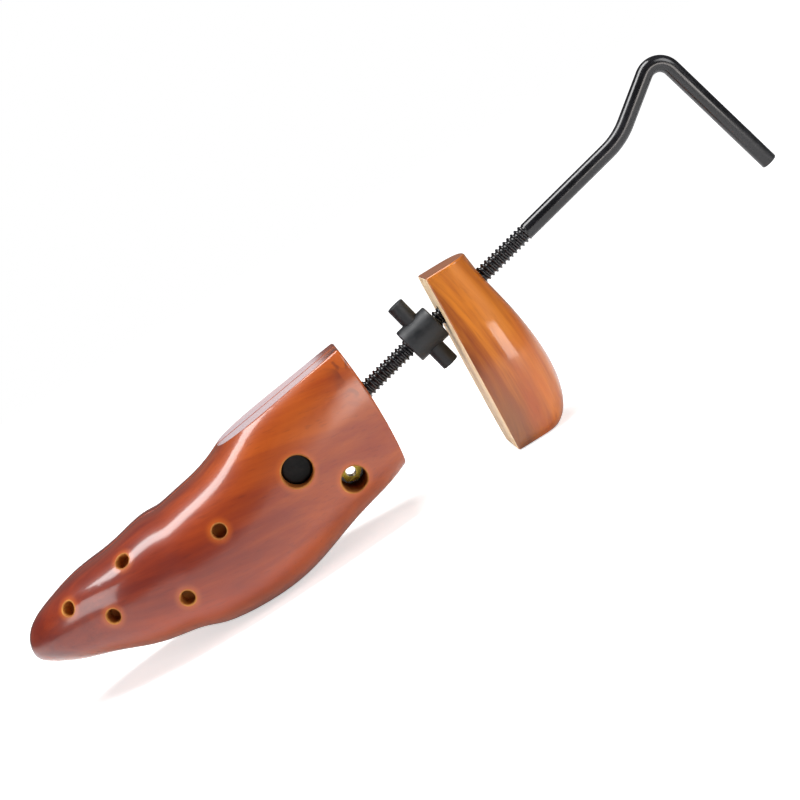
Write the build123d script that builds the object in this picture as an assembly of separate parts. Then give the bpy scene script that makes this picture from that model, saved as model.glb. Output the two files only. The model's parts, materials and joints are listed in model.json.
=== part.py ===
"""A two-way wooden shoe tree: a forepart split in two halves, a heel block, and a cranked screw between them.

The crank turns the screw and spreads the halves, and the pegged nut on the same screw pushes the heel block back.
Row frame: X runs from the toe (-X) to the crank (+X), Y across the shoe, Z up. The origin is the middle of the
heel block's flat base, and the tree lies at rest on that base and on the ball of the forepart, at Z = 0.
Screw frame: U along the screw towards the crank, V = Y, W square to the screw and upwards. Its origin is where the
screw's axis meets the forepart's rear face. Pieces on the screw are drawn there and then carried to the row frame.
"""

import math
import os
from functools import lru_cache

from build123d import *

# ---- Driving dimensions: millimetres and degrees -------------------------------------------------------------

# Forepart: the pair of halves that fills the front of the shoe.
forepart_length = 217.0
ball_width = 91.0
instep_height = 93.7
split_gap = 0.4
rim_round = 0.5
rear_bulge_radius = 290.0
instep_slope = 8.3
edge_round = 1.4

# Heel block.
heel_height = 100.0
heel_depth = 39.5
heel_width = 52.0
heel_front_lean = 2.4
heel_edge_round = 1.2

# Where the two blocks stand at rest.
heel_front_x = -13.5
block_spacing = 50.0

# Screw and crank.
screw_rise = 13.2
screw_height = 65.4
thread_diameter = 9.5
thread_depth = 1.15
thread_pitch = 2.7
thread_crest = 0.55
thread_tooth = 1.65
shank_diameter = 8.9
thread_end_u = 117.0
crank_first_bend_u = 183.7
crank_kink = 24.9
crank_kink_radius = 40.0
crank_offset_run = 48.5
crank_arm_turn = 111.5
crank_arm_radius = 9.0
crank_arm_length = 84.5
crank_end_round = 0.8

# Length nut: the pegged nut that moves the heel block.
nut_diameter = 20.0
nut_length = 19.5
nut_centre_u = 40.9
nut_edge_round = 0.9
peg_diameter = 9.6
peg_span = 42.0
peg_seat_radius = 7.2

# Spreader: what opens the forepart.
half_spread = 12.0
ramp_angle = 22.0
front_thread_diameter = 7.0
front_thread_depth = 0.9
bearing_centre_u = -35.4
bearing_length = 14.0
bearing_diameter = 16.0
neck_diameter = 6.8
thrust_washer_diameter = 13.5
thrust_washer_thickness = 1.2
collar_diameter = 13.0
collar_length = 5.0
collar_pin_diameter = 2.5
carriage_length = 13.0
carriage_height = 14.0
carriage_wall = 4.0
carriage_nose = 3.5
roller_diameter = 12.0
roller_width = 6.0
roller_offset = 9.5
axle_diameter = 4.0
clip_diameter = 7.0
clip_thickness = 0.8
ramp_thickness = 2.0
ramp_height = 29.0
ramp_fork_slot = 9.0
ramp_back_u = -49.0
ramp_front_u = -90.5
anchor_diameter = 16.2
anchor_u = -52.4
anchor_recess = 10.0
screw_head_diameter = 6.6
screw_head_depth = 1.6
screw_shank_diameter = 3.2
screw_length = 9.0

# Centre frame: the plate in the split, its see-through lug and the cross pins that the halves slide on.
plate_thickness = 3.0
lug_width = 11.0
lug_diameter = 13.0
sight_nut_flats = 10.0
sight_nut_length = 9.0
sight_nut_hole = 5.4
lug_place = (-35.4, -24.0)
guide_places = ((-35.4, 14.0), (-70.0, -22.5), (-112.0, -7.0))
guide_pin_diameter = 6.0
guide_pin_reach = 22.0
bush_diameter = 9.0
bush_length = 10.0
sight_hole_diameter = 13.6

# Return springs: each lies across the split and hooks on a pin in each half.
spring_places = ((-16.0, -19.0), (-128.0, -3.0))
spring_diameter = 8.0
spring_wire = 1.2
spring_reach = 15.0
spring_coils = 12
spring_pin_diameter = 3.0
spring_pin_length = 14.0

# Relief-plug sockets in the flank of each half: X and Z of the mouth, diameter and depth.
plug_diameter = 7.4
plug_depth = 10.0
plug_lean = 0.55

# Fits, all radial.
running_fit = 0.05
screw_clearance = 0.15
pocket_clearance = 0.5

# The forepart's outline. Each row is a station across it: its distance from the rear face as a share of the
# length, sole and crown heights as shares of the instep height, width as a share of the ball's, and how square
# the section is below and above its widest level (2 is an ellipse, more is boxier).
forepart_stations = (
    (-0.055, 0.308, 1.062, 0.580, 2.4, 3.8),
    (0.000, 0.256, 1.049, 0.620, 2.4, 3.8),
    (0.115, 0.165, 1.027, 0.736, 2.4, 3.8),
    (0.230, 0.090, 0.990, 0.846, 2.5, 3.6),
    (0.313, 0.031, 0.938, 0.912, 2.6, 3.3),
    (0.368, 0.008, 0.877, 0.945, 2.7, 3.1),
    (0.460, 0.002, 0.797, 0.989, 2.8, 3.0),
    (0.575, 0.042, 0.748, 1.000, 2.8, 3.1),
    (0.690, 0.108, 0.717, 0.945, 2.7, 3.2),
    (0.791, 0.180, 0.688, 0.813, 2.5, 3.1),
    (0.884, 0.246, 0.642, 0.604, 2.4, 2.9),
    (0.944, 0.298, 0.592, 0.407, 2.2, 2.6),
    (0.976, 0.337, 0.542, 0.253, 2.1, 2.3),
    (0.9935, 0.370, 0.486, 0.132, 2.0, 2.1),
)
toe_tip_height = 0.425
widest_level = 0.42

# The heel block's outline: height, reach of the back from the front face, and width, as shares of the whole.
heel_stations = (
    (0.000, 0.690, 0.780),
    (0.020, 0.765, 0.840),
    (0.055, 0.842, 0.900),
    (0.115, 0.918, 0.955),
    (0.190, 0.970, 0.985),
    (0.320, 1.000, 1.000),
    (0.470, 0.978, 0.985),
    (0.600, 0.930, 0.950),
    (0.710, 0.872, 0.900),
    (0.810, 0.812, 0.845),
    (0.900, 0.768, 0.800),
    (1.000, 0.735, 0.760),
)
heel_squareness = 2.5
outline_points = 24

# Relief-plug sockets: distance from the rear face as a share of the length, height as a share of the instep's.
plug_places = ((0.456, 0.526), (0.597, 0.312), (0.765, 0.427), (0.684, 0.648), (0.852, 0.571))

# ---- Sizes that follow ---------------------------------------------------------------------------------------

rear_x = heel_front_x - block_spacing
ramp_slope = math.tan(math.radians(ramp_angle))
carriage_travel = half_spread / ramp_slope
bearing_front_u = bearing_centre_u - bearing_length / 2
bearing_back_u = bearing_centre_u + bearing_length / 2
collar_back_u = bearing_front_u - thrust_washer_thickness
collar_front_u = collar_back_u - collar_length
carriage_gap = 1.5
carriage_u = collar_front_u - carriage_gap - carriage_length / 2
screw_tip_u = carriage_u - carriage_travel - carriage_length / 2 - 2.0
half_face = split_gap / 2
roller_inner = carriage_height / 2 + pocket_clearance
roller_outer = roller_inner + roller_width
axle_reach = roller_outer + clip_thickness + 1.0

SCREW = Pos(rear_x, 0, screw_height) * Rot(0, -screw_rise, 0)
LEFT, RIGHT = -1, 1


def screw_point(u, w, y=0.0):
    """Row-frame point of a place given in the screw frame."""
    return (SCREW * Pos(u, y, w)).position


def along_u(start, end, radius, w=0.0, y=0.0):
    """A round bar along U, in the screw frame."""
    return Pos((start + end) / 2, y, w) * Rot(0, 90, 0) * Cylinder(radius, abs(end - start))


def across(u, w, start, end, radius):
    """A round bar along Y, in the screw frame."""
    return Pos(u, (start + end) / 2, w) * Rot(90, 0, 0) * Cylinder(radius, abs(end - start))


def upright(u, y, low, high, radius):
    """A round bar along W, in the screw frame."""
    return Pos(u, y, (low + high) / 2) * Cylinder(radius, high - low)


# ---- Wood ----------------------------------------------------------------------------------------------------


def rounded_section(centre, reach_back, reach_front, half_width, square_back, square_front, place):
    """A closed smooth outline: a superellipse whose two ends differ. place maps (along, across) to a point."""
    points = []
    for i in range(outline_points):
        angle = 2 * math.pi * i / outline_points - math.pi / 2
        side, along = math.cos(angle), math.sin(angle)
        reach = reach_front if along > 0 else reach_back
        power = 2 / (square_front if along > 0 else square_back)
        points.append(
            place(
                centre + reach * math.copysign(abs(along) ** power, along),
                half_width * math.copysign(abs(side) ** power, side),
            )
        )
    return Wire([Edge.make_spline(points, periodic=True)])


@lru_cache(maxsize=1)
def forepart_body():
    """The whole forepart before it is split: lofted, then cut flat on the instep and slightly bulged behind."""
    sections = []
    for share, sole, crown, width, below, above in forepart_stations:
        x = rear_x - share * forepart_length
        low, high = sole * instep_height, crown * instep_height
        level = low + widest_level * (high - low)
        sections.append(
            rounded_section(
                level, level - low, high - level, width * ball_width / 2, below, above,
                lambda z, y, x=x: Vector(x, y, z),
            )
        )
    tip = Vertex(rear_x - forepart_length, 0, toe_tip_height * instep_height)
    body = Solid.make_loft([*sections, tip])
    rear = Pos(rear_x - rear_bulge_radius, 0, instep_height * 0.625) * Rot(90, 0, 0)
    body = body & (rear * Cylinder(rear_bulge_radius, 2 * ball_width))
    above = Pos(rear_x, 0, instep_height) * Rot(0, -instep_slope, 0)
    body = body - above * Box(
        4 * forepart_length, 2 * ball_width, instep_height, align=(Align.CENTER, Align.CENTER, Align.MIN)
    )
    return body


def forepart_half_blank():
    """The -Y half, split off, with its sharp edges rounded."""
    room = Pos(0, -half_face, 0) * Box(
        8 * forepart_length, 2 * ball_width, 4 * instep_height, align=(Align.CENTER, Align.MAX, Align.CENTER)
    )
    half = (forepart_body() & room).solid()
    return fillet(half.edges(), edge_round).solid()


@lru_cache(maxsize=1)
def plug_axes():
    """Mouth point and outward axis of each relief-plug socket, on the -Y flank."""
    found = []
    for share, height in plug_places:
        ray = Axis((rear_x - share * forepart_length, 0, height * instep_height), (0, -1, 0))
        hits = forepart_body().find_intersection_points(ray)
        mouth, normal = min(hits, key=lambda hit: hit[0].Y)
        if normal.Y > 0:
            normal = normal * -1
        axis = (normal * plug_lean + Vector(0, -1, 0) * (1 - plug_lean)).normalized()
        found.append((mouth, axis))
    return found


def plug_socket(mouth, axis):
    """The drill's path of one relief-plug socket."""
    return Plane(origin=mouth, z_dir=axis) * Cylinder(
        plug_diameter / 2, plug_depth + ball_width / 2, align=(Align.CENTER, Align.CENTER, Align.MIN)
    ).moved(Location((0, 0, -plug_depth)))


def flank_y(u, w):
    """How far the forepart's flank stands from the split, at a place in the screw frame."""
    at = screw_point(u, w)
    hits = forepart_body().find_intersection_points(Axis((at.X, 0, at.Z), (0, 1, 0)))
    return max(point.Y for point, _ in hits)


def ramp_surface(u):
    """Distance from the split of the ramp's running face, at rest."""
    contact = roller_offset + roller_diameter / 2 / math.cos(math.radians(ramp_angle))
    return contact + (u - carriage_u) * ramp_slope


def wedge_prism(side, back_u, front_u, gap, extra, height):
    """The space between the split and the ramp's running face, grown by extra, in the screw frame."""
    points = [(back_u, gap), (back_u, ramp_surface(back_u) + extra)]
    front_reach = ramp_surface(front_u) + extra
    points += [(front_u, max(front_reach, gap + 0.01)), (front_u, gap)]
    outline = Polyline(*[(u, side * v) for u, v in points], close=True)
    return Pos(0, 0, -height / 2) * extrude(make_face(outline), height)


def spreader_pocket(side):
    """What is cut from a half to make room for the spreader, in the screw frame."""
    back = ramp_thickness / math.cos(math.radians(ramp_angle))
    front = carriage_u - carriage_travel - carriage_length / 2 - pocket_clearance
    room = wedge_prism(side, ramp_back_u + pocket_clearance, front, -1, back,
                       2 * (axle_reach + pocket_clearance))
    screw_room = thread_diameter / 2 + pocket_clearance
    room += along_u(bearing_back_u, 20, screw_room)
    room += along_u(ramp_back_u, bearing_back_u + thrust_washer_thickness + pocket_clearance,
                    bearing_diameter / 2 + pocket_clearance)
    room += along_u(screw_tip_u - pocket_clearance, ramp_back_u, front_thread_diameter / 2 + pocket_clearance)
    plate = Pos(0, -plate_thickness / 2 - pocket_clearance / 2, 0) * frame_plate(
        lug_width / 2 + pocket_clearance, plate_thickness + pocket_clearance)
    room += plate
    return room


def guide_cuts(side):
    """Bores for the guide pins, and their wider mouths for the bushes."""
    cuts = None
    for u, w in guide_places:
        bore = across(u, w, 0, side * (guide_pin_reach + 1), guide_pin_diameter / 2 + 2 * running_fit)
        mouth_start = side * (plate_thickness / 2 + pocket_clearance / 2)
        mouth = across(u, w, 0, mouth_start + side * bush_length, bush_diameter / 2)
        cuts = bore + mouth if cuts is None else cuts + bore + mouth
    return cuts


def spring_cuts(side):
    """Blind bores for the return springs, with a cross hole for each hook pin."""
    cuts = None
    for u, w in spring_places:
        end = side * (spring_reach + spring_pin_diameter + 2.0)
        bore = across(u, w, -side, end, spring_diameter / 2 + pocket_clearance)
        pin = upright(u, side * spring_pin_y, w - spring_pin_length / 2, w + spring_pin_length / 2,
                      spring_pin_diameter / 2)
        cuts = bore + pin if cuts is None else cuts + bore + pin
    return cuts


spring_pin_y = spring_reach + spring_pin_diameter / 2


@lru_cache(maxsize=1)
def left_half():
    """The -Y wooden half with all its holes and pockets."""
    half = forepart_half_blank()
    half -= SCREW * spreader_pocket(LEFT)
    half -= SCREW * guide_cuts(LEFT)
    half -= SCREW * spring_cuts(LEFT)
    half -= SCREW * across(anchor_u, 0, 0, -ball_width, anchor_diameter / 2)
    half -= SCREW * across(*lug_place, 0, -ball_width, sight_hole_diameter / 2)
    half -= SCREW * front_screw(LEFT)
    for mouth, axis in plug_axes():
        half -= plug_socket(mouth, axis)
    return half.fillet(rim_round, mouth_edges(half))


def mouth_edges(half):
    """The edges where the large holes and the plug sockets come out of the flank."""
    holes = [(screw_point(anchor_u, 0), Vector(0, 1, 0), anchor_diameter / 2)]
    holes.append((screw_point(*lug_place), Vector(0, 1, 0), sight_hole_diameter / 2))
    holes += [(mouth, axis, plug_diameter / 2) for mouth, axis in plug_axes()]
    found = []
    for edge in half.edges().filter_by(GeomType.BSPLINE):
        if edge.bounding_box().max.Y > -anchor_recess:
            continue
        for at, axis, radius in holes:
            away = [(edge.position_at(t) - at).cross(axis).length for t in (0.0, 0.3, 0.6)]
            at_mouth = axis.Y == 1 or abs((edge.position_at(0.3) - at).dot(axis)) < radius
            if at_mouth and max(abs(a - radius) for a in away) < 0.01:
                found.append(edge)
    return found


def forepart_half(side):
    """One wooden half: the +Y one is the other's mirror image."""
    return left_half() if side == LEFT else left_half().mirror(Plane.XZ)


def heel_block():
    """The heel block: lofted upwards, cut flat in front, and bored for the screw."""
    sections = []
    for share, back, width in heel_stations:
        z = share * heel_height
        centre = heel_front_x + heel_depth * 0.36
        reach = back * heel_depth + heel_front_x - centre
        sections.append(
            rounded_section(
                centre, heel_depth * 0.9, reach, width * heel_width / 2, 5.0, heel_squareness,
                lambda x, y, z=z: Vector(x, y, z),
            )
        )
    block = Solid.make_loft(sections)
    front = Pos(heel_front_x, 0, 0) * Rot(0, heel_front_lean, 0)
    block = block - front * Box(
        2 * heel_depth, 2 * heel_width, 3 * heel_height, align=(Align.MAX, Align.CENTER, Align.CENTER)
    )
    sharp = [
        e for e in block.edges()
        if e.bounding_box().size.Z < 1 or e.bounding_box().max.X < heel_front_x + 8
    ]
    block = fillet(sharp, heel_edge_round)
    bore = SCREW * along_u(0, 200, thread_diameter / 2 + 3 * screw_clearance)
    return block - bore


# ---- Screw and crank -----------------------------------------------------------------------------------------


def thread_outline(start, end, crest_radius, depth):
    """Points of a thread's edge along U, from start to end, as rings of the true pitch."""
    points = []
    turns = int((end - start) / thread_pitch)
    first = end - turns * thread_pitch
    flank = (thread_tooth - thread_crest) / 2
    for i in range(turns):
        u = first + i * thread_pitch
        points += [
            (u, crest_radius - depth),
            (u + flank, crest_radius),
            (u + flank + thread_crest, crest_radius),
            (u + thread_tooth, crest_radius - depth),
        ]
    return points


def crank_rod():
    """Screw, shank and crank: one bar with a rolled thread behind the neck and a finer one on its nose."""
    root = thread_diameter / 2 - thread_depth
    nose_root = front_thread_diameter / 2 - front_thread_depth
    neck_end = collar_front_u - 1.0
    main_start = bearing_back_u + thrust_washer_thickness
    edge = [(screw_tip_u, 0), (screw_tip_u, nose_root - 0.6), (screw_tip_u + 0.6, nose_root)]
    edge += thread_outline(screw_tip_u + 0.6, neck_end, front_thread_diameter / 2, front_thread_depth)
    edge += [(neck_end, neck_diameter / 2), (main_start, neck_diameter / 2)]
    edge += [(main_start, root)]
    edge += thread_outline(main_start, thread_end_u, thread_diameter / 2, thread_depth)
    edge += [(thread_end_u, root), (thread_end_u + 1.0, shank_diameter / 2)]
    edge += [(thread_end_u + 8.0, shank_diameter / 2), (thread_end_u + 8.0, 0)]
    kept = [edge[0]]
    for point in edge[1:]:
        if math.dist(point, kept[-1]) > 1e-6:
            kept.append(point)
    profile = make_face(Plane.XZ * Polyline(*kept, close=True))
    screw = revolve(profile, Axis.X)
    return screw + crank_bar()


def crank_path():
    """Centre line of the plain bar: along the screw, up at the kink, then down square to the screw."""
    start = Vector(thread_end_u + 4.0, 0, 0)
    first = Vector(crank_first_bend_u, 0, 0)
    kink = math.radians(crank_kink)
    second = first + Vector(math.cos(kink), 0, math.sin(kink)) * crank_offset_run
    arm = math.radians(crank_kink - crank_arm_turn)
    end = second + Vector(math.cos(arm), 0, math.sin(arm)) * crank_arm_length
    return FilletPolyline(start, first, second, end, radius=(crank_kink_radius, crank_arm_radius))


def crank_bar():
    """The plain bent bar, with its cut end eased."""
    path = crank_path()
    section = Plane(origin=path @ 0, z_dir=path % 0) * Circle(shank_diameter / 2)
    bar = sweep(section, path)
    end = bar.faces().sort_by_distance(path @ 1)[0]
    return fillet(end.edges(), crank_end_round)


def length_nut():
    """The nut's round body, with a blind seat for each peg."""
    start = nut_centre_u - nut_length / 2
    body = along_u(start, start + nut_length, nut_diameter / 2)
    body = fillet(body.edges().filter_by(GeomType.CIRCLE), nut_edge_round)
    body -= along_u(start - 1, start + nut_length + 1, thread_diameter / 2 + screw_clearance)
    body -= upright(nut_centre_u, 0, peg_seat_radius, nut_diameter, peg_diameter / 2)
    body -= upright(nut_centre_u, 0, -nut_diameter, -peg_seat_radius, peg_diameter / 2)
    return body


def nut_pegs():
    """The two round pegs that are gripped to turn the nut."""
    pegs = []
    for low, high in ((peg_seat_radius, peg_span / 2), (-peg_span / 2, -peg_seat_radius)):
        peg = upright(nut_centre_u, 0, low, high, peg_diameter / 2)
        tip = peg.faces().sort_by(Axis.Z)[-1 if low > 0 else 0]
        pegs.append(fillet(tip.edges(), nut_edge_round * 0.6).solid())
    return pegs


# ---- Spreader ------------------------------------------------------------------------------------------------


def frame_plate(half_width, thickness):
    """The centre plate's outline as a flat bar from pin to pin, rounded at its ends, from V = 0 upwards."""
    rear_pin, low_pin, front_pin = guide_places
    plate = None
    for start, end in ((rear_pin, lug_place), (lug_place, low_pin), (low_pin, front_pin)):
        length = math.dist(start, end)
        angle = math.degrees(math.atan2(end[1] - start[1], end[0] - start[0]))
        middle = ((start[0] + end[0]) / 2, (start[1] + end[1]) / 2)
        bar = Pos(*middle) * Rot(0, 0, angle) * SlotCenterToCenter(length, 2 * half_width)
        plate = bar if plate is None else plate + bar
    return Pos(0, thickness, 0) * Rot(90, 0, 0) * extrude(plate, thickness)


def spreader_frame():
    """Centre plate with the screw's bearing boss; its round lug carries the sight nut."""
    frame = Pos(0, -plate_thickness / 2, 0) * frame_plate(lug_width / 2, plate_thickness)
    frame += across(*lug_place, -plate_thickness / 2, plate_thickness / 2, lug_diameter / 2)
    frame += along_u(bearing_front_u, bearing_back_u, bearing_diameter / 2)
    frame -= along_u(bearing_front_u - 1, bearing_back_u + 1, neck_diameter / 2 + running_fit)
    for u, w in guide_places:
        frame -= across(u, w, -plate_thickness, plate_thickness, guide_pin_diameter / 2)
    return frame - sight_nut_blank()


def sight_nut_blank():
    """The hexagon of the sight nut, its corners up and down along W."""
    u, w = lug_place
    hexagon = Rot(0, 0, 30) * RegularPolygon(sight_nut_flats / 2, 6, major_radius=False)
    return Pos(u, sight_nut_length / 2, w) * Rot(90, 0, 0) * extrude(hexagon, sight_nut_length)


def sight_nut():
    """The hexagonal brass spacer in the plate's lug, open right through the forepart."""
    return sight_nut_blank() - across(*lug_place, -sight_nut_length, sight_nut_length, sight_nut_hole / 2)


def guide_pins():
    """Cross pins fixed in the centre plate."""
    return [across(u, w, -guide_pin_reach, guide_pin_reach, guide_pin_diameter / 2) for u, w in guide_places]


def guide_bushes(side):
    """Brass bushes in the mouths of one half's guide bores."""
    start = side * (plate_thickness / 2 + pocket_clearance / 2)
    end = start + side * bush_length
    return [
        across(u, w, start, end, bush_diameter / 2)
        - across(u, w, start - side, end + side, guide_pin_diameter / 2 + running_fit)
        for u, w in guide_places
    ]


def thrust_washers():
    """A washer each side of the bearing boss."""
    washers = []
    for start in (bearing_back_u, bearing_front_u - thrust_washer_thickness):
        washer = along_u(start, start + thrust_washer_thickness, thrust_washer_diameter / 2)
        washers.append(washer - along_u(start - 1, start + thrust_washer_thickness + 1,
                                        neck_diameter / 2 + screw_clearance))
    return washers


def thrust_collar():
    """The collar pinned on the screw's neck."""
    collar = along_u(collar_front_u, collar_back_u, collar_diameter / 2)
    collar -= along_u(collar_front_u - 1, collar_back_u + 1, neck_diameter / 2)
    return collar - collar_pin()


def collar_pin():
    """The pin through collar and neck."""
    reach = collar_diameter / 2
    return upright((collar_front_u + collar_back_u) / 2, 0, -reach + 0.3, reach - 0.3, collar_pin_diameter / 2)


def roller_carriage():
    """The block that the screw's nose drives: it carries the rollers' axles."""
    half_width = roller_offset + carriage_wall
    back, front = carriage_u + carriage_length / 2, carriage_u - carriage_length / 2
    outline = Polyline(
        (back, half_width), (front + carriage_nose, half_width), (front, half_width - carriage_nose),
        (front, carriage_nose - half_width), (front + carriage_nose, -half_width), (back, -half_width),
        close=True,
    )
    block = Pos(0, 0, -carriage_height / 2) * extrude(make_face(outline), carriage_height)
    block -= along_u(front - 1, back + 1, front_thread_diameter / 2 + screw_clearance)
    for side in (LEFT, RIGHT):
        block -= upright(carriage_u, side * roller_offset, -carriage_height, carriage_height, axle_diameter / 2)
    return block


def roller_axles():
    """The two upright axles."""
    return [upright(carriage_u, side * roller_offset, -axle_reach, axle_reach, axle_diameter / 2)
            for side in (LEFT, RIGHT)]


def rollers(side):
    """One side's pair of brass rollers, above and below the carriage."""
    made = []
    for low, high in ((roller_inner, roller_outer), (-roller_outer, -roller_inner)):
        wheel = upright(carriage_u, side * roller_offset, low, high, roller_diameter / 2 - running_fit)
        wheel = fillet(wheel.edges().filter_by(GeomType.CIRCLE), 0.5)
        wheel -= upright(carriage_u, side * roller_offset, low - 1, high + 1, axle_diameter / 2 + running_fit)
        made.append(wheel.solid())
    return made


def axle_clips():
    """Retaining clips on the axles' ends, outside the rollers."""
    clips = []
    for side in (LEFT, RIGHT):
        for low in (roller_outer + 0.2, -roller_outer - 0.2 - clip_thickness):
            high = low + clip_thickness
            clip = upright(carriage_u, side * roller_offset, low, high, clip_diameter / 2)
            clips.append(clip - upright(carriage_u, side * roller_offset, low - 1, high + 1, axle_diameter / 2))
    return clips


def ramp(side):
    """Steel ramp let into one half; its front is forked round the screw."""
    back = ramp_thickness / math.cos(math.radians(ramp_angle))
    slab = wedge_prism(side, ramp_back_u, ramp_front_u, half_face, back, ramp_height)
    slab -= wedge_prism(side, ramp_back_u + 1, ramp_front_u - 1, -1, 0, 2 * ramp_height)
    fork_back = carriage_u + (front_thread_diameter / 2 + 2 - ramp_surface(carriage_u)) / ramp_slope
    fork_length = fork_back - ramp_front_u + 1
    slot = Pos(fork_back, 0, 0) * Box(
        fork_length, ball_width, ramp_fork_slot, align=(Align.MAX, Align.CENTER, Align.CENTER)
    )
    return slab - slot - anchor_screw(side) - front_screw(side)


def anchor(side):
    """Steel plug that backs the ramp at the bottom of the large hole."""
    back = ramp_thickness / math.cos(math.radians(ramp_angle))
    outer = flank_y(anchor_u, 0) - anchor_recess
    plug = across(anchor_u, 0, 0, side * outer, anchor_diameter / 2)
    rim = plug.faces().sort_by(Axis.Y)[-1 if side == RIGHT else 0].edges()
    plug = fillet(rim, 1.5)
    far = anchor_diameter
    plug -= wedge_prism(side, anchor_u + far, anchor_u - far, -1, back, 2 * ramp_height)
    return plug - anchor_screw(side)


def set_screw(side, u, w):
    """A countersunk screw square to the ramp's running face at u."""
    place = Pos(u, side * ramp_surface(u), w) * Rot(-side * 90, 0, 0) * Rot(0, -ramp_angle, 0)
    head = Cone(screw_head_diameter / 2, screw_shank_diameter / 2, screw_head_depth,
                align=(Align.CENTER, Align.CENTER, Align.MIN))
    shank = Cylinder(screw_shank_diameter / 2, screw_length, align=(Align.CENTER, Align.CENTER, Align.MIN))
    return place * (head + shank)


def anchor_screw(side):
    """The screw that holds the ramp to its steel plug."""
    return set_screw(side, anchor_u - 1.5, 0)


def front_screw(side):
    """The wood screw near the ramp's front, below the fork."""
    return set_screw(side, ramp_front_u + 12.0, -ramp_height / 2 + screw_head_diameter / 2 + 0.6)


def ramp_screws(side):
    """Both screws of one ramp."""
    return [anchor_screw(side), front_screw(side)]


def spring_pins(side):
    """The pins that one half's ends of the springs hook on."""
    return [
        upright(u, side * spring_pin_y, w - spring_pin_length / 2, w + spring_pin_length / 2,
                spring_pin_diameter / 2)
        for u, w in spring_places
    ]


def return_spring(u, w):
    """A close-wound tension spring across the split."""
    length = 2 * (spring_reach - spring_wire)
    coil = Helix(pitch=length / spring_coils, height=length, radius=(spring_diameter - spring_wire) / 2)
    section = Plane(origin=coil @ 0, z_dir=coil % 0) * Circle(spring_wire / 2)
    wire = sweep(section, coil, is_frenet=True)
    return Pos(u, 0, w) * Rot(90, 0, 0) * Pos(0, 0, -length / 2) * wire


# ---- Assembly ------------------------------------------------------------------------------------------------


def nodes():
    """Every node's name with its solids in the row frame."""
    made = {
        "spreader_frame": [SCREW * spreader_frame()],
        "sight_nut": [SCREW * sight_nut()],
        "guide_pins": [SCREW * pin for pin in guide_pins()],
        "thrust_washers": [SCREW * washer for washer in thrust_washers()],
        "crank_rod": [SCREW * (crank_rod() - collar_pin())],
        "thrust_collar": [SCREW * thrust_collar()],
        "collar_pin": [SCREW * collar_pin()],
        "roller_carriage": [SCREW * roller_carriage()],
        "roller_axles": [SCREW * axle for axle in roller_axles()],
        "axle_clips": [SCREW * clip for clip in axle_clips()],
        "length_nut": [SCREW * length_nut()],
        "nut_pegs": [SCREW * peg for peg in nut_pegs()],
        "heel_block": [heel_block()],
        "return_spring_rear": [SCREW * return_spring(*spring_places[0])],
        "return_spring_front": [SCREW * return_spring(*spring_places[1])],
    }
    for side, word in ((LEFT, "left"), (RIGHT, "right")):
        made[f"forepart_half_{word}"] = [forepart_half(side)]
        made[f"rollers_{word}"] = [SCREW * wheel for wheel in rollers(side)]
        made[f"ramp_{word}"] = [SCREW * ramp(side)]
        made[f"ramp_anchor_{word}"] = [SCREW * anchor(side)]
        made[f"ramp_screws_{word}"] = [SCREW * screw for screw in ramp_screws(side)]
        made[f"guide_bushes_{word}"] = [SCREW * bush for bush in guide_bushes(side)]
        made[f"spring_pins_{word}"] = [SCREW * pin for pin in spring_pins(side)]
    return made


def main():
    os.makedirs("parts", exist_ok=True)
    for name, shapes in nodes().items():
        solids = [solid for shape in shapes for solid in shape.solids()]
        export_step(Compound(children=solids) if len(solids) > 1 else solids[0], f"parts/{name}.step")


if __name__ == "__main__":
    main()
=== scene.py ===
"""The looks of a two-way wooden shoe tree: varnished wood, enamelled steel and brass, on a white ground.

Everything is in metres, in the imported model's own frame: +X from the toe to the crank, +Y across, +Z up.
"""

import json
import math

import bpy
from mathutils import Matrix, Vector


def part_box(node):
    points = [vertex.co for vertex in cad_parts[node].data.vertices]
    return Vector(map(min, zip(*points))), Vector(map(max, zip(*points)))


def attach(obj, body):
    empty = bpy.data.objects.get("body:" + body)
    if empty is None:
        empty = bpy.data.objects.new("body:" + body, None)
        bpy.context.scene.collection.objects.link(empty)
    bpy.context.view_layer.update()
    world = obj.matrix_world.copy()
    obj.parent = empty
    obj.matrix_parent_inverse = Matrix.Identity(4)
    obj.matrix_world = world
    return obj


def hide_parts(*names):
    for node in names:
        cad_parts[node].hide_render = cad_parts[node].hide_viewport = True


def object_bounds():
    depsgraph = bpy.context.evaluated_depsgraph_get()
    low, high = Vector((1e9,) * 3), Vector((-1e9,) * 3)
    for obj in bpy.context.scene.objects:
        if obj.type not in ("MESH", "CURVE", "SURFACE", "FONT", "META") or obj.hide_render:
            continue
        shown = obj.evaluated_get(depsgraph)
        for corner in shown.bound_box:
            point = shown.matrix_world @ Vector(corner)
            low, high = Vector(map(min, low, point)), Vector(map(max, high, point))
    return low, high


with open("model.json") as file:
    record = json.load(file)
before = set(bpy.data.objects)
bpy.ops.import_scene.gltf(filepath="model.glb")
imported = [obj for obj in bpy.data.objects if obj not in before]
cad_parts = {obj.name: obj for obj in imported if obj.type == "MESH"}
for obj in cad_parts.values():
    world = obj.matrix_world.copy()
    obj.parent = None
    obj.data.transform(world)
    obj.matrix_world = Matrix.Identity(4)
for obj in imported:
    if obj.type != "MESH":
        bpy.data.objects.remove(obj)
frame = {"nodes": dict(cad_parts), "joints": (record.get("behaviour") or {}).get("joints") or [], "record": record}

cad_low, cad_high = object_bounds()

# ---- Driving values --------------------------------------------------------------------------------------

# Camera: where it looks and from where, with the picture turned so that the tree stands on its toe.
camera_target = Vector((-0.0515, 0.0, 0.0516))
camera_distance = 0.95
camera_azimuth = -1.5
camera_elevation = 8.0
camera_roll = 31.4
camera_lens = 82.5
camera_sensor = 36.0

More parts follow.
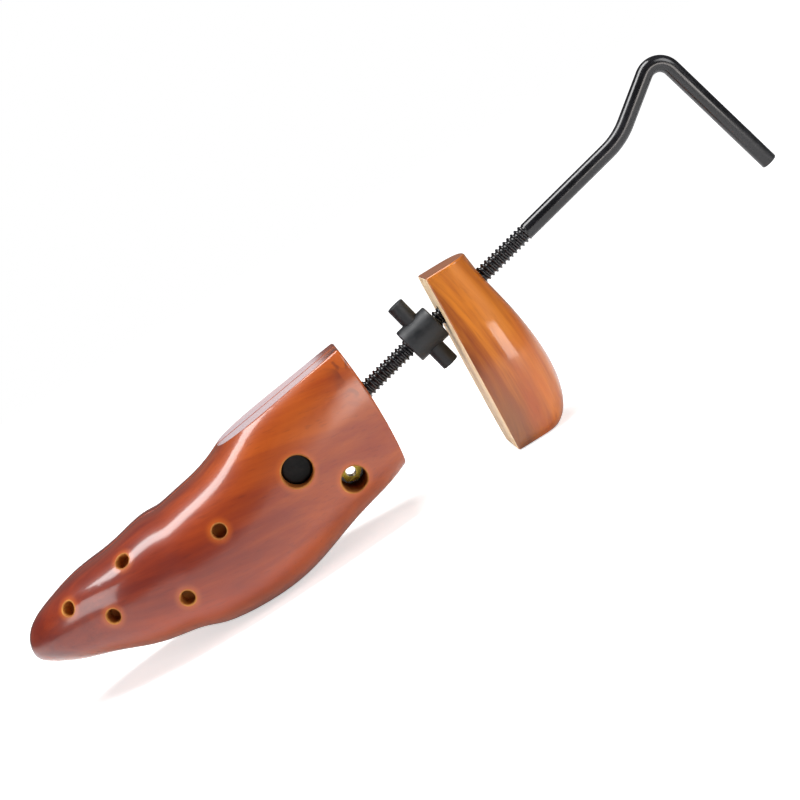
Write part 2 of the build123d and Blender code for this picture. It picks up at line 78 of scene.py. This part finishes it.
# Studio.
surround_level = 0.10
background_level = 1.0
floor_glow_near = 0.62
floor_glow_far = 1.0
floor_glow_unseen = 0.10
floor_glow_start = 0.35
floor_glow_end = 1.1
floor_tones = ((0.86, 0.86, 0.87, 1), (0.88, 0.88, 0.88, 1))
floor_radius = 4.0
floor_gap = 0.0003

# Lights: name, place from the middle of the forepart, width, height, power and colour.
studio_middle = Vector((-0.12, 0, 0.05))
softboxes = (
    ("key", (-0.10, -0.02, 0.80), 0.36, 0.95, 10.0, (1, 1, 1)),
    ("low", (0.42, -0.60, -0.02), 0.30, 0.20, 1.1, (1.0, 0.93, 0.88)),
    ("top_sheen", (-0.045, 0.85, 0.12), 0.13, 0.12, 0.05, (0.86, 0.90, 1.0)),
    ("toe_fill", (-0.80, -0.55, 0.35), 0.5, 0.5, 3.2, (1, 1, 1)),
    ("heel_fill", (0.85, -0.55, 0.50), 0.5, 0.5, 3.6, (1, 1, 1)),
)

# Screw and crank, along the crank joint's axis from the joint's own point.
thread_pitch = 0.0027
thread_depth = 0.00115
thread_crest = 0.20
thread_root = 0.24
thread_start = -0.0270
thread_end = 0.1172
shank_radius = 0.00445
thread_radius = 0.00475
crank_first_bend = 0.1837
crank_kink = 24.9
crank_kink_radius = 0.040
crank_offset_run = 0.0485
crank_arm_turn = 111.5
crank_arm_radius = 0.009
crank_arm_length = 0.0845
crank_end_round = 0.0008

# How finely the bar is divided: points in a ring, rings in a turn of thread and in the end's round, and
# degrees from ring to ring in a bend.
ring_points = 48
thread_rings = 10
end_rings = 5
bend_step = 5.0

# Wood: sizes of what shows in its colour. The rim is measured from a hole's wall, the fade and the blots
# from the forepart's rear and crown.
sight_hole_radius = 0.0068
plug_radius = 0.0037
stain_halo = 0.0042
bare_rim = (0.00045, 0.0011)
# The fade to amber towards the rear and the top is partly the stain and partly painted light.
amber_stain_and_light_fade = (-0.115, 0.045)
blots_from_rear = (-0.016, -0.002)
blots_from_crown = (-0.036, -0.012)
# Mouth and outward axis of each relief-plug socket in the -Y flank.
plug_sockets = (
    ((-0.1625, -0.0440, 0.0493), (-0.01, -0.99, 0.12)),
    ((-0.1930, -0.0453, 0.0292), (-0.04, -1.00, 0.00)),
    ((-0.2295, -0.0389, 0.0400), (-0.20, -0.98, 0.04)),
    ((-0.2119, -0.0350, 0.0607), (-0.10, -0.90, 0.40)),
    ((-0.2484, -0.0280, 0.0535), (-0.24, -0.92, 0.30)),
)

# Wood's finish: how its patterns are read, the grain's tilt in degrees and bow, and the varnish over it.
last_tone_range = (0.42, 0.90)
last_grain_tilt = -9.0
heel_bow = -2.2
heel_bow_height = 0.35
grain_relief = 0.00012
varnish_ior = 1.5
varnish_ripple = (0.0004, 0.10)
wood_specular = 0.4

# Colours as displayed, or a darker and a lighter one that a pattern mixes.
last_red = ((108, 22, 2), (160, 56, 6))
# Amber of the rear and top: partly the stain's colour, partly painted light.
last_amber_stain_and_light = ((144, 48, 0), (186, 88, 4))
# Orange underside: partly the stain, partly a painted reflection of the bright floor.
last_sole_and_floor_sheen = (186, 88, 18)
last_fleck = (74, 18, 6)
last_blot = (70, 10, 4)
last_halo = (196, 92, 14)
# Bare wood in the holes, its colour darkened with painted shade of the hollows.
last_bare_and_shade = ((150, 84, 28), (206, 142, 66))
heel_amber = ((158, 72, 6), (214, 124, 24))
heel_cloud = (196, 76, 4)
heel_fibre = (128, 58, 8)
heel_stain = (88, 34, 6)
heel_grey = (112, 74, 46)
heel_bare = ((246, 222, 184), (226, 178, 122))
heel_end = (206, 122, 72)
brass_tones = ((168, 138, 36), (226, 204, 96))

# Metals and enamels by slot, with their tones as linear colours.
metals = {
    "black_steel": dict(
        name="black_enamel", low=(0.003, 0.003, 0.004, 1), high=(0.008, 0.008, 0.011, 1),
        roughness=0.24, metallic=0.0, coat=0.4),
    "nut_steel": dict(
        name="satin_black", low=(0.006, 0.007, 0.009, 1), high=(0.016, 0.018, 0.021, 1),
        roughness=0.46, metallic=0.0, grit=700.0, bump=0.00008),
    "dark_steel": dict(
        name="black_oxide", low=(0.006, 0.006, 0.006, 1), high=(0.022, 0.020, 0.019, 1),
        roughness=0.42, metallic=0.6),
    "bright_steel": dict(
        name="ground_steel", low=(0.34, 0.34, 0.35, 1), high=(0.52, 0.52, 0.53, 1),
        roughness=0.30, metallic=1.0),
    "spring_steel": dict(
        name="spring_wire", low=(0.24, 0.24, 0.26, 1), high=(0.42, 0.42, 0.44, 1),
        roughness=0.28, metallic=1.0),
}


# ---- Small helpers ---------------------------------------------------------------------------------------


def srgb(red, green, blue):
    """A linear colour from 0-255 display values."""
    def linear(value):
        value /= 255
        return value / 12.92 if value <= 0.04045 else ((value + 0.055) / 1.055) ** 2.4
    return (linear(red), linear(green), linear(blue), 1.0)


class Surface:
    """A node material built up by short calls.

    A value given to a socket is a number, a colour or another socket.
    """

    def __init__(self, name):
        self.material = bpy.data.materials.new(name)
        self.material.use_nodes = True
        self.tree = self.material.node_tree
        self.shader = self.tree.nodes["Principled BSDF"]

    def feed(self, socket, value):
        if isinstance(value, bpy.types.NodeSocket):
            self.tree.links.new(value, socket)
        else:
            socket.default_value = value

    def node(self, kind, out=0, inputs=(), **settings):
        made = self.tree.nodes.new("ShaderNode" + kind)
        for key, value in settings.items():
            setattr(made, key, value)
        for key, value in dict(inputs).items():
            self.feed(made.inputs[key], value)
        return made.outputs[out]

    def shade(self, **sockets):
        for key, value in sockets.items():
            self.feed(self.shader.inputs[key.replace("_", " ")], value)

    def place(self):
        """Where a point is, in the frame, at rest."""
        return self.node("TexCoord", "Object")

    def facing(self):
        """Which way the surface faces, in the frame, at rest."""
        return self.node("TexCoord", "Normal")

    def parts(self, vector):
        made = self.tree.nodes.new("ShaderNodeSeparateXYZ")
        self.feed(made.inputs[0], vector)
        return made.outputs

    def join(self, x, y, z):
        return self.node("CombineXYZ", inputs={0: x, 1: y, 2: z})

    def math(self, operation, a, b=0.0, c=0.0):
        return self.node("Math", inputs={0: a, 1: b, 2: c}, operation=operation)

    def vector(self, operation, a, b=(0, 0, 0), out="Vector"):
        return self.node("VectorMath", out, inputs={0: a, 1: b}, operation=operation)

    def ramp(self, value, low, high, to_low=0.0, to_high=1.0):
        """value mapped smoothly from low..high to to_low..to_high."""
        return self.node(
            "MapRange", inputs={"Value": value, "From Min": low, "From Max": high,
                                "To Min": to_low, "To Max": to_high}, interpolation_type="SMOOTHSTEP")

    def mix(self, factor, a, b, blend="MIX"):
        made = self.tree.nodes.new("ShaderNodeMix")
        made.data_type = "RGBA"
        made.blend_type = blend
        for key, value in ((0, factor), (6, a), (7, b)):
            self.feed(made.inputs[key], value)
        return made.outputs[2]

    def stretched(self, vector, scale, turn=(0, 0, 0)):
        return self.node("Mapping", inputs={"Vector": vector, "Rotation": turn, "Scale": scale})

    def noise(self, vector, scale, detail=3.0, rough=0.5, distortion=0.0):
        return self.node("TexNoise", inputs={"Vector": vector, "Scale": scale, "Detail": detail,
                                             "Roughness": rough, "Distortion": distortion})

    def bump(self, height, distance, strength):
        return self.node("Bump", inputs={"Height": height, "Distance": distance, "Strength": strength})


def wear(material, *objects):
    """Gives the objects this one material."""
    for made in objects:
        made.data.materials.clear()
        made.data.materials.append(material)


# ---- Wood ------------------------------------------------------------------------------------------------


def cross_holes():
    """Middle and radius of the two large holes, which run along Y."""
    found = []
    for node, radius in (("ramp_anchor_left", None), ("sight_nut", sight_hole_radius)):
        low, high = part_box(node)
        middle = (Vector(low) + Vector(high)) / 2
        found.append((middle, radius or (high[0] - low[0]) / 2))
    return found


def hole_distance(s, place):
    """Distance from the nearest hole's wall, outwards, with both flanks folded onto the -Y one."""
    x, y, z = s.parts(place)
    folded = s.join(x, s.math("MULTIPLY", s.math("ABSOLUTE", y), -1.0), z)
    nearest = None
    for mouth, axis in plug_sockets:
        axis = tuple(Vector(axis).normalized())
        aside = s.vector("CROSS_PRODUCT", s.vector("SUBTRACT", folded, mouth), axis)
        gap = s.math("SUBTRACT", s.vector("LENGTH", aside, out="Value"), plug_radius)
        nearest = gap if nearest is None else s.math("MINIMUM", nearest, gap)
    for middle, radius in cross_holes():
        away = s.vector("SUBTRACT", s.join(x, 0.0, z), (middle.x, 0, middle.z))
        gap = s.math("SUBTRACT", s.vector("LENGTH", away, out="Value"), radius)
        nearest = s.math("MINIMUM", nearest, gap)
    return nearest


def forepart_wood():
    """Stained beech under gloss varnish: streaks along it, an amber rear and top that are partly the stain and
    partly painted light, an orange underside that is partly the stain and partly a painted reflection of the
    floor, and bare wood inside the holes that is darkened with painted shade.
    """
    s = Surface("forepart_wood")
    place = s.place()
    x, _, z = s.parts(place)
    low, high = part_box("forepart_half_left")
    rear, crown = high[0], high[2]
    bent = s.stretched(place, (1, 1, 1), (0, math.radians(last_grain_tilt), 0))
    streaks = s.noise(s.stretched(bent, (7, 75, 75)), 1.0, 4, 0.6, 0.35)
    flecks = s.noise(s.stretched(bent, (90, 900, 900)), 1.0, 2, 0.5)
    clouds = s.noise(place, 17.0, 2, 0.5)
    tone = s.math("ADD", s.math("MULTIPLY", streaks, 0.75), s.math("MULTIPLY", clouds, 0.55))
    red = s.mix(s.ramp(tone, *last_tone_range), *(srgb(*c) for c in last_red))
    rear_amber_and_light = s.mix(s.ramp(tone, *last_tone_range), *(srgb(*c) for c in last_amber_stain_and_light))
    # Amber towards the rear and the top: partly the stain, partly painted light that brightens them.
    rearward = s.math("ADD", x, s.math("MULTIPLY", z, 0.55))
    back = s.ramp(rearward, *(rear + v for v in amber_stain_and_light_fade))
    colour = s.mix(back, red, rear_amber_and_light)
    # Orange on faces turned down: partly the stain, partly a painted reflection of the floor.
    underside_stain_and_sheen = s.ramp(s.parts(s.facing())[2], -0.95, -0.35, 1.0, 0.0)
    colour = s.mix(s.math("MULTIPLY", underside_stain_and_sheen, 0.55), colour, srgb(*last_sole_and_floor_sheen))
    colour = s.mix(s.ramp(flecks, 0.55, 0.75, 0.0, 0.22), colour, srgb(*last_fleck))
    blots = s.noise(s.stretched(place, (120, 120, 70)), 1.0, 2, 0.5, 0.4)
    near_rear = s.ramp(x, *(rear + v for v in blots_from_rear))
    edge = s.math("MULTIPLY", near_rear, s.ramp(z, *(crown + v for v in blots_from_crown)))
    colour = s.mix(s.math("MULTIPLY", edge, s.ramp(blots, 0.52, 0.60, 0.0, 0.75)), colour, srgb(*last_blot))
    away = hole_distance(s, place)
    halo = s.ramp(away, 0.0, stain_halo, 0.62, 0.0)
    colour = s.mix(halo, colour, srgb(*last_halo))
    rim = s.ramp(away, *bare_rim, 1.0, 0.0)
    # Bare wood in and at the holes: its own colour, darkened with painted shade.
    bare_wood_and_shade = s.mix(s.ramp(streaks, 0.35, 0.7), *(srgb(*c) for c in last_bare_and_shade))
    colour = s.mix(rim, colour, bare_wood_and_shade)
    ripple = s.noise(place, 95.0, 2, 0.5)
    pores = s.math("MULTIPLY", flecks, 0.5)
    s.shade(
        Base_Color=colour, Roughness=s.ramp(rim, 0.0, 1.0, 0.42, 0.75),
        Coat_Weight=s.ramp(rim, 0.0, 1.0, 1.0, 0.0),
        Coat_Roughness=0.15, Coat_IOR=varnish_ior, Specular_IOR_Level=wood_specular,
        Normal=s.bump(pores, grain_relief, 0.35), Coat_Normal=s.bump(ripple, *varnish_ripple),
    )
    return s.material


def heel_wood():
    """Amber varnished wood with brown and yellow streaks along the block; its front is pale and bare."""
    s = Surface("heel_wood")
    place, facing = s.place(), s.parts(s.facing())
    x, y, z = s.parts(place)
    low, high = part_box("heel_block")
    front, top = low[0], high[2]
    bow = s.math("MULTIPLY", s.math("POWER", s.math("SUBTRACT", z, top * heel_bow_height), 2.0), heel_bow)
    grain = s.join(s.math("SUBTRACT", x, bow), y, z)
    streaks = s.noise(s.stretched(grain, (95, 60, 7)), 1.0, 4, 0.6, 0.5)
    fibres = s.noise(s.stretched(grain, (600, 600, 30)), 1.0, 3, 0.6)
    clouds = s.noise(s.stretched(grain, (40, 30, 12)), 1.0, 2, 0.5)
    colour = s.mix(s.ramp(streaks, 0.30, 0.72), *(srgb(*c) for c in heel_amber))
    colour = s.mix(s.ramp(clouds, 0.52, 0.72, 0.0, 0.45), colour, srgb(*heel_cloud))
    colour = s.mix(s.ramp(fibres, 0.50, 0.78, 0.0, 0.25), colour, srgb(*heel_fibre))
    near_front = s.math("ADD", s.math("SUBTRACT", x, front), s.math("MULTIPLY", clouds, 0.012))
    dark_front = s.ramp(near_front, 0.004, 0.019, 1.0, 0.0)
    stain = s.math("MULTIPLY", dark_front, s.ramp(streaks, 0.30, 0.62, 1.0, 0.35))
    colour = s.mix(s.math("MULTIPLY", stain, 0.8), colour, srgb(*heel_stain))
    grey = s.math("MULTIPLY", s.ramp(z, 0.012, 0.045, 1.0, 0.0), s.ramp(near_front, 0.010, 0.030, 1.0, 0.0))
    colour = s.mix(s.math("MULTIPLY", grey, 0.5), colour, srgb(*heel_grey))
    bare = s.ramp(facing[0], -0.93, -0.70, 1.0, 0.0)
    colour = s.mix(bare, colour, s.mix(s.ramp(fibres, 0.4, 0.7), *(srgb(*c) for c in heel_bare)))
    end_grain = s.ramp(facing[2], 0.80, 0.97)
    colour = s.mix(s.math("MULTIPLY", end_grain, 0.8), colour, srgb(*heel_end))
    ripple = s.noise(place, 90.0, 2, 0.5)
    s.shade(
        Base_Color=colour, Roughness=s.ramp(bare, 0.0, 1.0, 0.40, 0.7),
        Coat_Weight=s.ramp(bare, 0.0, 1.0, 1.0, 0.1),
        Coat_Roughness=0.09, Coat_IOR=varnish_ior, Specular_IOR_Level=wood_specular,
        Normal=s.bump(fibres, grain_relief, 0.4), Coat_Normal=s.bump(ripple, *varnish_ripple),
    )
    return s.material


# ---- Metal -----------------------------------------------------------------------------------------------


def metal(name, low, high, roughness, metallic, coat=0.0, grit=400.0, bump=0.00004):
    """A metal or enamel whose colour, roughness and surface vary finely between two tones."""
    s = Surface(name)
    place = s.place()
    cloud = s.noise(place, grit * 0.12, 3, 0.6)
    fine = s.noise(place, grit, 3, 0.6)
    worn = s.ramp(s.math("ADD", s.math("MULTIPLY", cloud, 0.6), s.math("MULTIPLY", fine, 0.4)), 0.35, 0.65)
    s.shade(
        Base_Color=s.mix(worn, low, high), Metallic=metallic,
        Roughness=s.ramp(worn, 0.0, 1.0, roughness * 0.85, roughness * 1.2),
        Coat_Weight=coat, Coat_Roughness=0.12, Specular_IOR_Level=0.5, Normal=s.bump(fine, bump, 0.5),
    )
    return s.material


# ---- Screw and crank -------------------------------------------------------------------------------------


def screw_frame():
    """Origin, outward axis and upward axis of the screw, from the crank's joint."""
    joint = next(j for j in frame["joints"] if j["name"] == "crank_turn")
    along = -Vector(joint["axis"]).normalized()
    across = Vector((0, 1, 0))
    return Vector(joint["pos_m"]), along, along.cross(across)


def thread_height(phase):
    """Height of the thread's flank as a share of its depth, at a phase of the pitch from 0 to 1."""
    flank = (1 - thread_crest - thread_root) / 2
    if phase < flank:
        return phase / flank
    if phase < flank + thread_crest:
        return 1.0
    if phase < 1 - thread_root:
        return (1 - thread_root - phase) / flank
    return 0.0


def smooth(value, low, high):
    share = min(1.0, max(0.0, (value - low) / (high - low)))
    return share * share * (3 - 2 * share)


def screw_radius(u, angle):
    """Radius of the screw's helical surface at u along its axis and angle round it."""
    phase = (u / thread_pitch - angle / (2 * math.pi)) % 1.0
    run_in = smooth(u, thread_start, thread_start + thread_pitch)
    run_out = run_in * (1 - smooth(u, thread_end - thread_pitch, thread_end))
    core = thread_radius - thread_depth
    plain = shank_radius if u > thread_end - thread_pitch else core
    base = plain + (core - plain) * run_out
    return base + thread_depth * thread_height(phase) * run_out


def crank_stations():
    """Middle, heading and radius of each ring from the thread's start to the crank's tip, in the screw frame.

    The radius is None along the thread, where it goes by the helix.
    """
    stations = []
    steps = round((thread_end - thread_start) / thread_pitch * thread_rings)
    for i in range(steps + 1):
        u = thread_start + (thread_end - thread_start) * i / steps
        stations.append((Vector((u, 0, 0)), 0.0, None))
    corner, heading = Vector((crank_first_bend, 0, 0)), 0.0
    legs = (
        (math.radians(crank_kink), crank_kink_radius, crank_offset_run),
        (-math.radians(crank_arm_turn), crank_arm_radius, crank_arm_length),
    )
    for turn, radius, run in legs:
        setback = radius * math.tan(abs(turn) / 2)
        start = corner - Vector((math.cos(heading), 0, math.sin(heading))) * setback
        side = Vector((-math.sin(heading), 0, math.cos(heading))) * math.copysign(radius, turn)
        count = max(8, round(abs(turn) / math.radians(bend_step)))
        for i in range(count + 1):
            angle = turn * i / count
            spoke = Matrix.Rotation(-angle, 3, "Y") @ -side
            stations.append((start + side + spoke, heading + angle, shank_radius))
        heading += turn
        corner = corner + Vector((math.cos(heading), 0, math.sin(heading))) * run
    ahead = Vector((math.cos(heading), 0, math.sin(heading)))
    for i in range(end_rings):
        angle = math.pi / 2 * i / (end_rings - 1)
        back = crank_end_round * (1 - math.sin(angle))
        radius = shank_radius - crank_end_round * (1 - math.cos(angle))
        stations.append((corner - ahead * back, heading, radius))
    stations.append((corner, heading, shank_radius * 0.5))
    return stations


def crank_rod():
    """The screw and crank as one bar with a true helical thread.

    It starts where the thread does: the neck and the nose, deep in the forepart, are left out.
    """
    origin, along, up = screw_frame()
    across = Vector((0, 1, 0))
    points, faces = [], []
    stations = crank_stations()
    for middle, heading, radius in stations:
        normal = Vector((-math.sin(heading), 0, math.cos(heading)))
        for k in range(ring_points):
            angle = 2 * math.pi * k / ring_points
            reach = radius if radius is not None else screw_radius(middle.x, angle)
            local = middle + (normal * math.cos(angle) - across * math.sin(angle)) * reach
            points.append(origin + along * local.x + across * local.y + up * local.z)
    for i in range(len(stations) - 1):
        for k in range(ring_points):
            a, b = i * ring_points + k, i * ring_points + (k + 1) % ring_points
            faces.append((a, b, b + ring_points, a + ring_points))
    last = (len(stations) - 1) * ring_points
    faces.append(tuple(range(ring_points - 1, -1, -1)))
    faces.append(tuple(last + k for k in range(ring_points)))
    mesh = bpy.data.meshes.new("screw_and_crank")
    mesh.from_pydata(points, [], faces)
    mesh.update()
    mesh.shade_smooth()
    made = bpy.data.objects.new("screw_and_crank", mesh)
    bpy.context.scene.collection.objects.link(made)
    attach(made, "crank_screw")
    return made


# ---- Studio ----------------------------------------------------------------------------------------------


def camera_axes():
    """Right, up and forward of the picture, in the frame."""
    turn, tilt, roll = (math.radians(v) for v in (camera_azimuth, camera_elevation, camera_roll))
    forward = Vector((-math.sin(turn) * math.cos(tilt), math.cos(turn) * math.cos(tilt), -math.sin(tilt)))
    level = forward.cross(Vector((0, 0, 1))).normalized()
    upright = level.cross(forward)
    right = level * math.cos(roll) - upright * math.sin(roll)
    up = level * math.sin(roll) + upright * math.cos(roll)
    return right, up, forward


def make_camera():
    bpy.context.scene.view_settings.view_transform = "Standard"
    right, up, forward = camera_axes()
    data = bpy.data.cameras.new("camera")
    data.lens = camera_lens
    data.sensor_width = camera_sensor
    data.clip_start = 0.05
    camera = bpy.data.objects.new("camera", data)
    place = camera_target - forward * camera_distance
    camera.matrix_world = Matrix.Translation(place) @ Matrix((right, up, -forward)).transposed().to_4x4()
    bpy.context.scene.collection.objects.link(camera)
    bpy.context.scene.camera = camera


def softbox(name, place, width, height, power, colour):
    data = bpy.data.lights.new(name, "AREA")
    data.shape = "RECTANGLE"
    data.size, data.size_y = width, height
    data.energy = power
    data.color = colour
    light = bpy.data.objects.new(name, data)
    light.location = studio_middle + Vector(place)
    light.rotation_euler = (-Vector(place)).to_track_quat("-Z", "Y").to_euler()
    bpy.context.scene.collection.objects.link(light)


def make_lights():
    """A long box overhead for the shoulders' sheen, a low one, one for the flat top, and two fills."""
    for row in softboxes:
        softbox(*row)


def make_world():
    """White behind everything, but a dim surround for what the surfaces reflect."""
    world = bpy.data.worlds.new("studio")
    bpy.context.scene.world = world
    world.use_nodes = True
    tree = world.node_tree
    ground = tree.nodes["Background"]
    ground.inputs["Color"].default_value = (1, 1, 1, 1)
    ray = tree.nodes.new("ShaderNodeLightPath")
    level = tree.nodes.new("ShaderNodeMapRange")
    level.inputs["To Min"].default_value = surround_level
    level.inputs["To Max"].default_value = background_level
    tree.links.new(ray.outputs["Is Camera Ray"], level.inputs["Value"])
    tree.links.new(level.outputs[0], ground.inputs["Strength"])


def make_floor():
    """A broad pale floor, bright enough to run into the white behind it."""
    s = Surface("floor")
    fine = s.noise(s.place(), 3.0, 2)
    away = s.vector("LENGTH", s.place(), out="Value")
    glow = s.ramp(away, floor_glow_start, floor_glow_end, floor_glow_near, floor_glow_far)
    seen = s.ramp(s.node("LightPath"), 0.0, 1.0, floor_glow_unseen, 1.0)
    s.shade(
        Base_Color=s.mix(s.ramp(fine, 0.3, 0.7), *floor_tones), Roughness=0.9, Specular_IOR_Level=0.1,
        Emission_Color=(1, 1, 1, 1), Emission_Strength=s.math("MULTIPLY", seen, glow),
    )
    place = (0, 0, cad_low[2] - floor_gap)
    bpy.ops.mesh.primitive_circle_add(vertices=96, radius=floor_radius, fill_type="NGON", location=place)
    floor = bpy.context.object
    floor.name = "floor"
    wear(s.material, floor)


# ---- Making it -------------------------------------------------------------------------------------------


def main():
    make_camera()
    make_world()
    make_lights()
    make_floor()
    nodes = frame["nodes"]
    rod = crank_rod()
    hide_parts("crank_rod")
    finishes = {slot: metal(**look) for slot, look in metals.items()}
    finishes["brass"] = metal("yellow_brass", *(srgb(*c) for c in brass_tones), 0.28, 1.0)
    finishes["forepart_wood"] = forepart_wood()
    finishes["heel_wood"] = heel_wood()
    slots = {part["node"]: part["material_slot"] for part in frame["record"]["subparts"]}
    for name, node in nodes.items():
        wear(finishes[slots[name]], node)
    wear(finishes["black_steel"], rod)


main()
